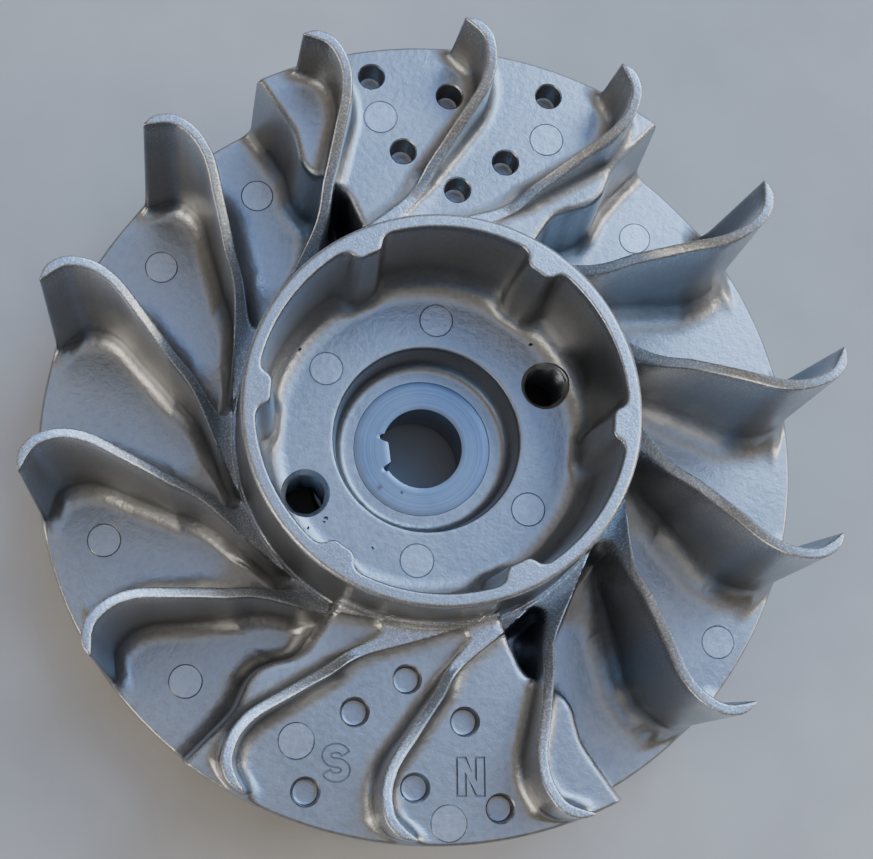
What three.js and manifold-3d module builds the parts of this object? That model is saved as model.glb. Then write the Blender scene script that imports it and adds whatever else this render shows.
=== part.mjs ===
// Fan flywheel of a small two-stroke engine, in millimetres.
// A die-cast aluminium fan carries a keyed steel hub, and a magnet with two pole shoes in a block at
// its rim. +Z runs along the crank axis toward the starter cup. +Y points at the middle of the
// counterweight block and -Y at the middle of the magnet block. Bearings are in degrees, clockwise
// from +Y as seen from the cup side. Heights are above the face that the flywheel lies on.
import * as THREE from 'three';
import { mergeVertices } from 'three/addons/utils/BufferGeometryUtils.js';
import Module from 'manifold-3d';

const wasm = await Module();
wasm.setup();

// Driving dimensions
const gap = 0.3; // hairline between neighbouring sections
const discRadius = 69.6;
const blockRadius = 70;
const skirtThickness = 3.2;
const plateBottom = 11.5;
const floorTop = 15;
const blockTop = 38;
const rimTop = 54;

const cupFootRadius = 34.3;
const cupRimRadius = 32.7;
const cupRimInner = 30.3;
const cupWallInner = 29.4;
const cupFloorTop = 27.4;
const cupFloorThickness = 4;
const counterboreRadius = 16.5;
const counterboreFoot = 14.9;
const lugCount = 6;
const lugFirstBearing = 30;
const lugTipRadius = 27.9;
const lugBaseWidth = 7.6;
const lugTipWidth = 3.8;

const bossRadius = 20.5;
const bossBottom = 0.5;
const hubRadius = 12.4;
const hubFaceTop = 18.6;
const boreRadius = 7.3;
const boreTaper = 1 / 16; // growth of the radius per millimetre toward the engine
const keyBearing = 258;
const keyWidth = 4.6;
const keyTipRadius = 5.9;
const keyNotchRadius = 0.6;

const pullerCircleRadius = 23.6;
const pullerBearings = [60, 240];
const pullerHoleRadius = 3.4;
const pullerChamferRadius = 4.3;
const pullerBossRadius = 6.5;
const pullerBossBottom = 13;
const ribBearings = [0, 120, 180, 300];
const ribThickness = 3;

const pocketRadius = 2.25;
const pocketDepth = 3;
const counterweightHoleDepth = 5.5;
// Each pair is the radius and the bearing of one round hole in a block's top face.
const blockHoles = [[64.5, -14.35], [64.5, 14.35], [60.4, -1.7], [49.9, -10.55], [49.9, 10.55], [43, 1.3]];
// Each pair is a radius and the bearing of the block's side wall there, from the middle of the block.
const blockSide = [
  [blockRadius, 31.4], [65, 30.7], [61, 30.1], [58, 29.8], [55.5, 30.2], [52.3, 30.8], [49.6, 30],
  [47.6, 28.3], [46, 26.4], [44.3, 25], [41, 24.2], [38, 23.8], [34.8, 23.6],
];

const shoeBottom = 17;
const shoeTop = 34;
const shoeFaceRadius = 69.8;
const magnetHalfWidth = 6;
const magnetInner = 45.8;
const magnetOuter = 57.2;

const bladesOnBlock = [3.4 - 23.6, 3.4, 3.4 + 23.6]; // bearings of the three blades on a block
const bladesBetweenBlocks = 4;
const blockRootRadius = 40; // where a blade that stands wholly on a block starts
const bladeTipRadius = 68.4;
const bladeTop = 53.4;
const bladeTopDrop = 22.8; // how far the top edge falls from the tip to the cup
const bladeTopThickness = 1.8;
const bladeFootThickness = 3.6;
const bladeSteps = 18;
// Each pair is a radius and how far the blade trails its furthest bearing there.
const bladePath = [[34.9, 28], [40, 14.5], [46, 8], [52, 3.4], [58, 0.2], [63, 0], [66, 1.2], [68.4, 3.8]];

const roundSides = 72;
const smallHoleSides = 20;

// Helpers
function onCircle(radius, bearing) {
  const angle = THREE.MathUtils.degToRad(bearing);
  return new THREE.Vector2(radius * Math.sin(angle), radius * Math.cos(angle));
}

function toSolid(geometry) {
  geometry.deleteAttribute('normal');
  geometry.deleteAttribute('uv');
  const merged = mergeVertices(geometry, 1e-4);
  return new wasm.Manifold(new wasm.Mesh({
    numProp: 3,
    vertProperties: new Float32Array(merged.attributes.position.array),
    triVerts: new Uint32Array(merged.index.array),
  }));
}

function toGeometry(solid) {
  const mesh = solid.getMesh();
  const geometry = new THREE.BufferGeometry();
  geometry.setAttribute('position', new THREE.BufferAttribute(mesh.vertProperties, 3));
  geometry.setIndex(new THREE.BufferAttribute(mesh.triVerts, 1));
  return geometry;
}

// A closed profile of [radius, height] pairs turned about Z. It runs up its outer side.
function turned(profile, sides = roundSides) {
  const points = [...profile, profile[0]].map(([radius, height]) => new THREE.Vector2(radius, height));
  return toSolid(new THREE.LatheGeometry(points, sides).rotateX(Math.PI / 2));
}

function cylinder(radius, low, high, sides = smallHoleSides) {
  const geometry = new THREE.CylinderGeometry(radius, radius, high - low, sides);
  return toSolid(geometry.rotateX(Math.PI / 2).translate(0, 0, (low + high) / 2));
}

function prism(outline, low, high) {
  const options = { depth: high - low, bevelEnabled: false };
  return toSolid(new THREE.ExtrudeGeometry(new THREE.Shape(outline), options).translate(0, 0, low));
}

function box(width, length, low, high) {
  return toSolid(new THREE.BoxGeometry(width, length, high - low).translate(0, 0, (low + high) / 2));
}

// Moves a solid from the centre out to a radius, then turns it clockwise to a bearing.
function placed(solid, radius, bearing) {
  return solid.translate([0, radius, 0]).rotate([0, 0, -bearing]);
}

const cast = { color: 0xa9adb3, metalness: 0.85, roughness: 0.45 };
const steel = { color: 0x8c96a6, metalness: 0.95, roughness: 0.3 };
const laminated = { color: 0x5f6062, metalness: 0.9, roughness: 0.5 };
const ferrite = { color: 0x2b2b2d, metalness: 0.1, roughness: 0.7 };

const flywheel = new THREE.Group();

function addPart(name, solid, look) {
  const mesh = new THREE.Mesh(toGeometry(solid), new THREE.MeshStandardMaterial(look));
  mesh.name = name;
  flywheel.add(mesh);
}

// Fan disc: a flat plate with a skirt behind its rim
function fanDisc() {
  const bore = cupFootRadius + gap;
  const skirtInner = discRadius - skirtThickness;
  return turned([
    [discRadius, 0],
    [discRadius, floorTop - 1.4],
    [discRadius - 0.4, floorTop - 0.4],
    [discRadius - 1.4, floorTop],
    [bore, floorTop],
    [bore, plateBottom],
    [skirtInner - 2.3, plateBottom],
    [skirtInner - 0.3, plateBottom - 2],
    [skirtInner, 0],
  ]);
}

// Starter cup: a round wall with six inner lugs, a floor with two puller holes, and ribs under it
function lug(bearing) {
  const outline = [
    new THREE.Vector2(-lugBaseWidth / 2, cupRimInner + 0.6),
    new THREE.Vector2(-lugTipWidth / 2, lugTipRadius + 0.4),
    new THREE.Vector2(-lugTipWidth / 2 + 0.6, lugTipRadius),
    new THREE.Vector2(lugTipWidth / 2 - 0.6, lugTipRadius),
    new THREE.Vector2(lugTipWidth / 2, lugTipRadius + 0.4),
    new THREE.Vector2(lugBaseWidth / 2, cupRimInner + 0.6),
  ];
  return placed(prism(outline, cupFloorTop - 1, rimTop), 0, bearing);
}

function starterCup() {
  const floorBottom = cupFloorTop - cupFloorThickness;
  const seat = hubFaceTop - 0.2;
  const recessRadius = 30.5;
  let cup = turned([
    [cupFootRadius, plateBottom],
    [cupFootRadius, floorTop],
    [cupRimRadius, rimTop - 0.8],
    [cupRimRadius - 0.8, rimTop],
    [cupRimInner + 0.3, rimTop],
    [cupRimInner, rimTop - 0.4],
    [cupWallInner, cupFloorTop + 3.5],
    [cupWallInner - 1, cupFloorTop + 1],
    [cupWallInner - 3.5, cupFloorTop],
    [counterboreRadius, cupFloorTop],
    [counterboreRadius - 0.6, cupFloorTop - 1],
    [counterboreFoot, seat],
    [bossRadius, seat],
    [bossRadius, floorBottom],
    [recessRadius, floorBottom],
    [recessRadius, plateBottom],
  ]);
  for (let i = 0; i < lugCount; i += 1) cup = cup.add(lug(lugFirstBearing + i * 360 / lugCount));
  const ribLength = recessRadius - bossRadius + 1;
  const ribMiddle = (recessRadius + bossRadius) / 2;
  for (const bearing of ribBearings) {
    cup = cup.add(placed(box(ribThickness, ribLength, pullerBossBottom, floorBottom + 1), ribMiddle, bearing));
  }
  for (const bearing of pullerBearings) {
    const boss = cylinder(pullerBossRadius, pullerBossBottom, floorBottom + 1, 32);
    cup = cup.add(placed(boss, pullerCircleRadius, bearing));
  }
  const chamferDepth = pullerChamferRadius - pullerHoleRadius;
  for (const bearing of pullerBearings) {
    const hole = turned([
      [0, pullerBossBottom - 1],
      [pullerHoleRadius, pullerBossBottom - 1],
      [pullerHoleRadius, cupFloorTop - chamferDepth],
      [pullerChamferRadius, cupFloorTop],
      [pullerChamferRadius, cupFloorTop + 1],
      [0, cupFloorTop + 1],
    ], 28);
    cup = cup.subtract(placed(hole, pullerCircleRadius, bearing));
  }
  return cup.subtract(cylinder(bossRadius + gap, 0, seat, roundSides));
}

// Hub boss: the aluminium collar that is cast around the steel hub
function hubBoss() {
  const top = hubFaceTop - 0.5;
  return turned([
    [bossRadius - 1.5, bossBottom],
    [bossRadius, bossBottom + 1.5],
    [bossRadius, top],
    [hubRadius + gap, top],
    [hubRadius + gap, bossBottom],
  ]);
}

// Steel hub: a turned ring with a tapered bore and a key between two relief notches
function steelHub() {
  const length = hubFaceTop - bossBottom;
  let hub = turned([
    [hubRadius, bossBottom],
    [hubRadius, hubFaceTop - 0.4],
    [hubRadius - 0.4, hubFaceTop],
    [boreRadius, hubFaceTop],
    [boreRadius + length * boreTaper, bossBottom],
  ], 72);
  const keyRoot = boreRadius + length * boreTaper + 0.8;
  const keyLength = keyRoot - keyTipRadius;
  const key = box(keyWidth, keyLength, bossBottom, hubFaceTop);
  hub = hub.add(placed(key, keyTipRadius + keyLength / 2, keyBearing));
  for (const side of [-1, 1]) {
    const across = side * (keyWidth / 2 + keyNotchRadius);
    const notchRadius = Math.sqrt(boreRadius ** 2 - across ** 2);
    const notch = cylinder(keyNotchRadius, bossBottom - 1, hubFaceTop + 1, 12).translate([across, 0, 0]);
    hub = hub.subtract(placed(notch, notchRadius, keyBearing));
  }
  return hub;
}

// Blocks: raised sectors at the rim. A block is drawn at +Y, where the counterweight stands.
function blockOutline(margin) {
  const curve = new THREE.SplineCurve(blockSide.map(([radius, bearing]) => new THREE.Vector2(radius, bearing)));
  const side = curve.getPoints(18).map((point) => {
    const turn = THREE.MathUtils.radToDeg(margin / point.x);
    return [point.x, point.y + turn];
  });
  const half = side[0][1];
  const inner = side[side.length - 1][1];
  const outline = side.map(([radius, bearing]) => onCircle(radius, bearing)).reverse();
  const arcSteps = 24;
  for (let i = 1; i < arcSteps; i += 1) {
    outline.push(onCircle(blockRadius + margin, half - (2 * half * i) / arcSteps));
  }
  outline.push(...side.map(([radius, bearing]) => onCircle(radius, -bearing)));
  const innerSteps = 12;
  for (let i = 0; i <= innerSteps; i += 1) {
    outline.push(onCircle(blockSide.at(-1)[0] - margin, -inner + (2 * inner * i) / innerSteps));
  }
  return outline;
}

function block(holeDepth) {
  let solid = prism(blockOutline(0), floorTop + gap, blockTop);
  for (const [radius, bearing] of blockHoles) {
    const hole = cylinder(pocketRadius, blockTop - holeDepth, blockTop + 1);
    solid = solid.subtract(placed(hole, radius, bearing));
  }
  return solid;
}

// Magnet and its two pole shoes. They are drawn at +Y and turned to the magnet block.
function shoeOutline(side, grow) {
  const inner = magnetHalfWidth + gap - grow;
  const faceStart = 9.6;
  const faceEnd = 17.9;
  const points = [
    [inner, 44.8 - grow],
    [12.3 + grow, 44.8 - grow],
    [13.5 + grow, 55 - grow],
    [21.5 + grow, 60.5 - grow],
  ];
  const faceSteps = 5;
  for (let i = 0; i <= faceSteps; i += 1) {
    const bearing = faceEnd + (faceStart - faceEnd) * i / faceSteps;
    const point = onCircle(shoeFaceRadius + (grow > 0 ? 2 : 0), bearing);
    const edge = i === 0 ? grow : (i === faceSteps ? -grow : 0);
    points.push([point.x + edge, point.y]);
  }
  points.push([10.5 - grow, 61 + grow], [inner, 57.6 + grow]);
  const outline = points.map(([x, y]) => new THREE.Vector2(side * x, y));
  return side > 0 ? outline : outline.reverse();
}

function poleShoe(side) {
  return prism(shoeOutline(side, 0), shoeBottom, shoeTop).rotate([0, 0, 180]);
}

function magnetBox(grow) {
  const middle = (magnetInner + magnetOuter) / 2;
  const length = magnetOuter - magnetInner + 2 * grow;
  return box(2 * (magnetHalfWidth + grow), length, shoeBottom - grow, shoeTop + grow).translate([0, middle, 0]);
}

function magnetBlock() {
  let solid = block(pocketDepth).subtract(magnetBox(gap));
  for (const side of [-1, 1]) {
    solid = solid.subtract(prism(shoeOutline(side, gap), shoeBottom - gap, shoeTop + gap));
  }
  return solid.rotate([0, 0, 180]);
}

// Fan blades: thin walls that sweep clockwise going outward and hook back at the tip
function bladeTopHeight(radius) {
  const inward = (bladeTipRadius - radius) / (bladeTipRadius - bladePath[0][0]);
  return bladeTop - bladeTopDrop * inward ** 2;
}

function blade(bearing, keepOut) {
  const path = new THREE.SplineCurve(bladePath.map(([radius, lag]) => {
    return onCircle(radius, bearing - lag);
  }));
  const geometry = new THREE.BoxGeometry(1, 1, 1, bladeSteps, 1, 1);
  const position = geometry.attributes.position;
  const footStretch = (discRadius - gap) / bladeTipRadius - 1;
  for (let i = 0; i < position.count; i += 1) {
    const along = position.getX(i) + 0.5;
    const across = position.getY(i);
    const isTop = position.getZ(i) > 0;
    const middle = path.getPoint(along);
    const tangent = path.getTangent(along);
    const thickness = isTop ? bladeTopThickness : bladeFootThickness;
    const stretch = isTop ? 1 : 1 + footStretch * along;
    const x = middle.x * stretch - tangent.y * across * thickness;
    const y = middle.y * stretch + tangent.x * across * thickness;
    position.setXYZ(i, x, y, isTop ? bladeTopHeight(middle.length()) : floorTop + gap);
  }
  return toSolid(geometry).subtract(keepOut).intersect(cylinder(discRadius, 0, rimTop, roundSides));
}

function bladeBearings() {
  const pitch = (180 - (bladesOnBlock.at(-1) - bladesOnBlock[0])) / (bladesBetweenBlocks + 1);
  const half = [...bladesOnBlock];
  for (let i = 1; i <= bladesBetweenBlocks; i += 1) half.push(bladesOnBlock.at(-1) + i * pitch);
  return [...half, ...half.map((bearing) => bearing + 180)];
}

addPart('fan_disc', fanDisc(), cast);
addPart('starter_cup', starterCup(), cast);
addPart('hub_boss', hubBoss(), cast);
addPart('steel_hub', steelHub(), steel);
addPart('counterweight_block', block(counterweightHoleDepth), cast);
addPart('magnet_block', magnetBlock(), cast);
addPart('magnet', magnetBox(0).rotate([0, 0, 180]), ferrite);
addPart('pole_shoe_north', poleShoe(-1), laminated);
addPart('pole_shoe_south', poleShoe(1), laminated);

const blockSpace = prism(blockOutline(gap + 0.05), 0, blockTop + gap);
const cupSpace = cylinder(cupFootRadius + gap, 0, rimTop, roundSides);
const keepOut = blockSpace.add(blockSpace.rotate([0, 0, 180])).add(cupSpace);
const rootSpace = cylinder(blockRootRadius, 0, blockTop + gap, roundSides);
bladeBearings().forEach((bearing, i) => {
  const placeInHalf = i % (bladesOnBlock.length + bladesBetweenBlocks);
  const standsOnBlock = placeInHalf === 1 || placeInHalf === 2;
  const space = standsOnBlock ? keepOut.add(rootSpace) : keepOut;
  addPart(`fan_blade_${String(i + 1).padStart(2, '0')}`, blade(bearing, space), cast);
});

export default flywheel;
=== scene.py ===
"""Looks of the fan flywheel: one continuous aluminium casting around a keyed steel hub, a magnet and
two pole shoes. Lengths are in millimetres and become metres when a mesh is made. Bearings are in
degrees, clockwise from +Y as seen from the cup side, which is up."""

import math

import bmesh
import bpy
import numpy as np
from mathutils import Matrix, Vector


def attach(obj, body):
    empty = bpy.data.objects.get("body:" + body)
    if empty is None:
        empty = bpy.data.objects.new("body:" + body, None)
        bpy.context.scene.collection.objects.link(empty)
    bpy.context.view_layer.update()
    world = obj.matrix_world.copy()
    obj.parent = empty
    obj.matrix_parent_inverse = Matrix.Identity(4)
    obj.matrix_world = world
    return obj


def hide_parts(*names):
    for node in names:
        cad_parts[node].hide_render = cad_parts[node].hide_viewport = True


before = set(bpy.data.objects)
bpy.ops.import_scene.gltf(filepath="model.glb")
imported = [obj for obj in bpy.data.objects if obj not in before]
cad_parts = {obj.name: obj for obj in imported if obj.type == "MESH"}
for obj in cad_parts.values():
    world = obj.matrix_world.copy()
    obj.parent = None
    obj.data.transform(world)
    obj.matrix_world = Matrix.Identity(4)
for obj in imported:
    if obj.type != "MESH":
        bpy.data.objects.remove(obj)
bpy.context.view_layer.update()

MM = 0.001

# Casting, outside the cup
EDGE_RADIUS = 69.6
EDGE_ROUND = 0.6
SKIRT_INNER = 66.4
FLOOR_TOP = 15.0
PLATE_BOTTOM = 11.5
BLOCK_TOP = 38.0
# Each pair is a radius and the bearing of a block's side wall there, from the middle of the block.
BLOCK_SIDE = [(30, 23.4), (36, 23.7), (41, 24.2), (44.3, 25.0), (46, 26.4), (47.6, 28.3), (49.6, 30.0),
              (52.3, 30.8), (55.5, 30.2), (58, 29.8), (61, 30.1), (65, 30.7), (71, 31.5)]
BLOCK_DRAFT = 0.06
BLOCK_FOOT_FILLET = 3.2
BLOCK_EDGE_ROUND = 1.3

# Starter cup
RIM_TOP = 54.0
RIM_OUTER = 32.7
RIM_INNER = 30.3
CUP_OUTER_DRAFT = 0.041
CUP_INNER_DRAFT = 0.03
CUP_FLOOR = 27.4
CUP_FOOT_FILLET = 2.4
CUP_FLOOR_FILLET = 5.0
RIM_WEAR = 0.6
LUG_COUNT = 6
LUG_FIRST_BEARING = 30.0
LUG_TIP_RADIUS = 27.9
LUG_HALF = 2.4
LUG_CORNER = 1.3
LUG_BLEND = 3.0
CUP_WALL_FILLET = 2.2
CUP_FLOOR_INSET = 0.6
RIM_ROUND_INSIDE = 0.45
RIM_ROUND_OUTSIDE = 0.8
COUNTERBORE_RADIUS = 16.5
COUNTERBORE_DRAFT = 0.1
COUNTERBORE_FILLET = 1.8
COUNTERBORE_ROUND = 0.5
COLLAR_TOP = 18.55
HUB_RADIUS = 12.4
HUB_FACE = 18.6
COLLAR_INNER = 12.46
BORE_RADIUS = 7.3
BORE_TAPER = 1 / 16
KEY_BEARING = 258.0
KEY_WIDTH = 4.6
KEY_TIP_RADIUS = 5.9
KEY_NOTCH = 0.6
BOSS_RADIUS = 20.5
BOSS_BOTTOM = 0.5
RECESS_RADIUS = 30.5
RECESS_TOP = 23.4
RIB_BEARINGS = (0, 120, 180, 300)
RIB_HALF = 1.5
PULLER_BOSS_RADIUS = 6.5
BACK_FEATURE_BOTTOM = 13.0
BACK_DRAFT = 0.04

# Holes
PULLER_RADIUS = 23.6
PULLER_BEARINGS = (60.0, 240.0)
THREAD_MINOR = 3.4
THREAD_DEPTH = 0.6
THREAD_PITCH = 1.25
PULLER_CHAMFER = 4.3
BLOCK_HOLES = [(64.5, -14.35), (64.5, 14.35), (60.4, -1.7), (49.9, -10.55), (49.9, 10.55), (43, 1.3)]
BLOCK_HOLE_RADIUS = 2.25
COUNTERWEIGHT_HOLE = 5.5
MAGNET_BLOCK_HOLE = 3.0

# Marks left by the die: ejector pins and the two pole letters
PIN_MARK_RADIUS = 2.95
PIN_MARK_RISE = 0.05
FLOOR_PIN_MARKS = [(59.4, 39.6), (64.5, 117.5), (59.3, 220.1), (59.5, 248.6), (59.3, 300.7), (57.8, 323.1)]
BLOCK_PIN_MARKS = [(56.7, 346.0), (56.5, 16.6), (57.5, 198.5), (66.0, 173.3)]
CUP_PIN_MARKS = [(21.8, 0), (21.8, 120), (21.8, 180), (21.8, 300)]
# Each pore is a radius, a bearing and half its width.
PORES = [(27.5, 299.8, 0.3), (25.8, 42.2, 0.32), (22.8, 226.1, 0.35), (23.5, 225.2, 0.22),
         (21.8, 201.2, 0.25), (26.4, 227.2, 0.3)]
LETTER_HEIGHT = 5.8
LETTER_WIDTH = 4.2
LETTER_STROKE = 1.1
LETTER_RISE = 0.15
LETTER_TRENCH = 0.33
LETTER_TRENCH_DEPTH = 1.0
LETTER_UP = -5.0
LETTER_S_PLACE = (58.6, 191.3)
LETTER_N_PLACE = (58.8, 169.5)

# Each spot on the hub's face is a radius with a bearing, a size and a colour.
HUB_SPOTS = [((10.5, 221.7), 0.7, (0.30, 0.17, 0.11)), ((8.9, 199.3), 0.35, (0.06, 0.06, 0.07))]

# Magnet block inserts
SHOE_BOTTOM = 17.0
SHOE_TOP = 34.0
SHEET_THICKNESS = 0.5
SHEET_EDGE = 0.06
SHEET_GAP = 0.01
SHOE_OUTLINE = [(6.3, 44.8), (12.3, 44.8), (13.5, 55), (21.5, 60.5)]
SHOE_FACE = (17.9, 9.6)
SHOE_INNER = [(10.5, 61), (6.3, 57.6)]
MAGNET_BOX = (6.0, 45.8, 57.2)
MAGNET_EDGE = 0.4

# Fan blades
BLOCK_PITCH = 23.6
BLADE_ON_BLOCK = 3.4
BLADE_TIP_RADIUS = 68.4
BLADE_TOP = 53.4
BLADE_TOP_DROP = 22.8
BLADE_ROOT_RADIUS = 34.9
BLADE_HALF_TOP = 0.9
BLADE_DRAFT = 0.024
# Widths of the fillets at a blade's foot: on the trailing and the leading side, on the floor and on a block
FLOOR_FILLETS = (4.0, 5.5)
BLOCK_FILLETS = (3.0, 2.3)
BLADE_CORNER = 0.6
BLADE_EDGE_ROUND = 0.4
BLADE_VALLEY = 2.0
# Next to the cup each blade runs into a web. Its reach is for the trailing and the leading side.
WEB_RADIUS = 34.2
WEB_REACHES = (5.0, 6.5)
WEB_DRAFT = 0.08
WEB_SPAN = 60
# Where a block is higher than a blade, the blade runs on over it as a low ridge.
RIDGE_RISE = 1.2
RIDGE_BLEND = 2.0
# Each pair is a radius and how far the blade trails its furthest bearing there.
BLADE_PATH = [(31.5, 37.5), (34.9, 28), (40, 14.5), (46, 8), (52, 3.4), (58, 0.2), (63, 0), (66, 1.2),
              (68.4, 3.8), (70, 5.8)]

# Grid of the casting's surface. Each span of rows is two radii and the step between them.
ROW_SPANS = [(COLLAR_INNER, 14.2, 0.35), (14.2, 16.9, 0.1), (16.9, 25.5, 0.45), (25.5, 27.2, 0.2),
             (27.2, 30.8, 0.08), (30.8, 32, 0.2), (32, 34.6, 0.075), (34.6, 38, 0.12), (38, 66, 0.22),
             (66, 68.2, 0.2), (68.2, EDGE_RADIUS, 0.06)]
# Places of the columns beside a blade, from its middle outward
BLADE_COLUMNS = [0, 0.35, 0.6, 0.75, 0.85, 0.9, 0.98, 1.1, 1.3, 1.55, 1.85, 2.2]
MIDDLE_COLUMNS = 30
WALL_COLUMNS = 20
WALL_CROWDING = 7
WALL_REACH = 1.6
WALL_APPROACH = 9.0

# Metals. The casting and the hub have a darkest and a lightest colour.
CAST_COLOURS = [(0.47, 0.475, 0.48), (0.60, 0.605, 0.61)]
HUB_COLOURS = [(0.32, 0.37, 0.45), (0.41, 0.46, 0.54)]
PIN_MARK_LIGHTNESS = 1.22
SHOE_COLOUR = (0.36, 0.36, 0.37)
MAGNET_COLOUR = (0.16, 0.16, 0.17)
# Painted shade: the colour of steep walls is darkened to this tone, standing in for the shade they catch
STEEP_WALL_PAINTED_SHADE = 0.68

# Studio, in metres. Each light is a place, a size, a power and a colour.
FLOOR_SIZE = 3.0
FLOOR_GAP = 0.0002
FLOOR_COLOURS = [(0.62, 0.60, 0.57), (0.68, 0.66, 0.63)]
LIGHT_AIM = (0, 0, 0.03)
LIGHTS = {
    "sky": ((0.45, 0.5, 0.8), 0.6, 4, (0.5, 0.74, 1.0)),
    "warm": ((-0.7, -0.55, 0.45), 0.5, 2.8, (1.0, 0.93, 0.82)),
    "side": ((0.9, 0.05, 0.5), 0.35, 2.5, (1.0, 0.94, 0.84)),
}
# The room is brightest in one direction. Each stop is a cosine to it and a colour.
BRIGHT_DIRECTION = (0.35, 0.45, 0.82)
ROOM_STOPS = [(0.0, (0.15, 0.135, 0.11)), (1.0, (0.28, 0.64, 1.75)), (0.5, (0.24, 0.22, 0.19)),
              (0.76, (0.46, 0.45, 0.46)), (0.87, (0.48, 0.63, 0.95)), (0.95, (0.29, 0.55, 1.3))]

# Camera, at the place and aimed at the point given. The top of its picture lies along the bearing given.
CAMERA_PLACE = (-24.585, -60.872, 309.431)
CAMERA_AIM = (-8.198, -1.056, BLOCK_TOP)
CAMERA_TOP = -4.82
CAMERA_SENSOR = 36
CAMERA_LENS = 67.43
CAMERA_SHIFT = (0.0591, -0.0022)
CAMERA_NEAR = 0.01


def on_circle(radius, bearing):
    """x and y of a point at a radius and a bearing."""
    angle = np.radians(bearing)
    return radius * np.sin(angle), radius * np.cos(angle)


def smooth_step(x):
    """Eases from 0 to 1 as x goes from 0 to 1."""
    x = np.clip(x, 0, 1)
    return x * x * (3 - 2 * x)


def smooth_curve(x, pairs):
    """A smooth curve through the pairs, with a slope at each from its two neighbours."""
    px, py = np.array(pairs, float).T
    slope = np.gradient(py, px)
    x = np.clip(x, px[0], px[-1])
    i = np.clip(np.searchsorted(px, x) - 1, 0, len(px) - 2)
    width = px[i + 1] - px[i]
    t = (x - px[i]) / width
    return ((2 * t**3 - 3 * t**2 + 1) * py[i] + (t**3 - 2 * t**2 + t) * width * slope[i]
            + (3 * t**2 - 2 * t**3) * py[i + 1] + (t**3 - t**2) * width * slope[i + 1])


def steps_between(start, end, step):
    """Evenly spaced values from start up to but not including end."""
    count = max(1, round(abs(end - start) / step))
    return [start + (end - start) * i / count for i in range(count)]


def smooth_max(a, b, reach):
    """The larger of a and b, rounded where they come within reach of each other."""
    h = np.clip(reach - np.abs(a - b), 0, None) / reach
    return np.maximum(a, b) + h * h * reach / 4


def merged(ground, a, b, reach):
    """The higher of two surfaces, with a soft valley where both stand above the ground."""
    shared = np.minimum(a, b) - ground
    return smooth_max(a, b, np.clip(2 * shared, 1e-6, reach))


def rounded_away(across, along, corner):
    """Distance outside a corner of two straight sides, given the distance outside each."""
    a = across + corner
    b = along + corner
    return np.hypot(np.clip(a, 0, None), np.clip(b, 0, None)) + np.minimum(np.maximum(a, b), 0) - corner


def raised(ground, top, away, draft, fillet, rounding):
    """Height of a wall that stands on the ground. away is the distance outside its top edge."""
    rise = np.clip(top - ground, 0, None)
    tall = np.minimum(fillet, 0.75 * rise)
    edge = np.minimum(rounding, 0.2 * rise) + 1e-6
    foot = draft * (rise - tall) + 1e-6
    top_part = top - (edge - np.sqrt(np.clip(edge**2 - np.clip(away + edge, 0, edge) ** 2, 0, None)))
    wall_part = (top - edge) + (ground + tall - top + edge) * np.clip(away / foot, 0, 1)
    inward = np.clip((foot + fillet - away) / fillet, 0, 1)
    fillet_part = ground + tall * (1 - np.sqrt(1 - inward**2))
    height = np.where(away <= 0, top_part, np.where(away < foot, wall_part, fillet_part))
    return np.where(rise > 0, height, ground)


# ---------------------------------------------------------------- casting
def blade_bearings():
    """Furthest bearing of every blade: three on each block, and four in each space between the blocks."""
    side_pitch = (180 - 2 * BLOCK_PITCH) / 5
    half = [BLADE_ON_BLOCK - BLOCK_PITCH, BLADE_ON_BLOCK, BLADE_ON_BLOCK + BLOCK_PITCH]
    half += [half[-1] + side_pitch * i for i in range(1, 5)]
    return half + [bearing + 180 for bearing in half]


def blade_lag(radius):
    """How far a blade trails its furthest bearing."""
    return smooth_curve(radius, BLADE_PATH)


def blade_cosine(radius):
    """Cosine of the angle between a blade and the radius through it."""
    step = 0.05
    slope = np.radians(blade_lag(radius + step) - blade_lag(radius - step)) / (2 * step)
    return 1 / np.sqrt(1 + (radius * slope) ** 2)


def blade_top(radius):
    """Height of a blade's top edge, which falls in a curve toward the cup."""
    length = BLADE_TIP_RADIUS - BLADE_ROOT_RADIUS
    inward = (BLADE_TIP_RADIUS - np.minimum(radius, BLADE_TIP_RADIUS)) / length
    return BLADE_TOP - BLADE_TOP_DROP * inward**2


def grid_radii():
    """Rows from the hub to the rim, close together wherever a wall stands."""
    rows = []
    for start, end, step in ROW_SPANS:
        rows += steps_between(start, end, step)
    return np.array(rows + [EDGE_RADIUS])


def wall_in_gap(radii, start, end):
    """Middle bearing of the block whose side wall runs through a gap, and the wall's outward direction."""
    side = smooth_curve(radii, BLOCK_SIDE)
    for middle in (0, 180, 360):
        for direction in (-1, 1):
            wall = middle + direction * side
            inside = (wall > start) & (wall < end)
            if inside.sum() > len(radii) / 12:
                return middle, direction
    return None


def middle_offsets(width, wall, direction):
    """Places of the columns between two blades, closer together along a block's side wall."""
    first = BLADE_COLUMNS[-1]
    share = np.linspace(0, 1, 200)
    across = first + (width - 2 * first)[:, None] * share
    crowding = np.ones_like(across)
    count = MIDDLE_COLUMNS
    if wall is not None:
        beyond = (across - wall[:, None] - direction * 0.5) / WALL_REACH
        within = np.minimum(wall, width - wall) / WALL_APPROACH
        crowding += WALL_CROWDING * smooth_step(within)[:, None] * np.exp(-beyond**4)
        count += WALL_COLUMNS
    total = np.cumsum(crowding, axis=1)
    total = (total - total[:, :1]) / (total[:, -1:] - total[:, :1])
    wanted = np.arange(1, count + 1) / (count + 1)
    return np.array([np.interp(wanted, t, a) for t, a in zip(total, across)]).T


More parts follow.
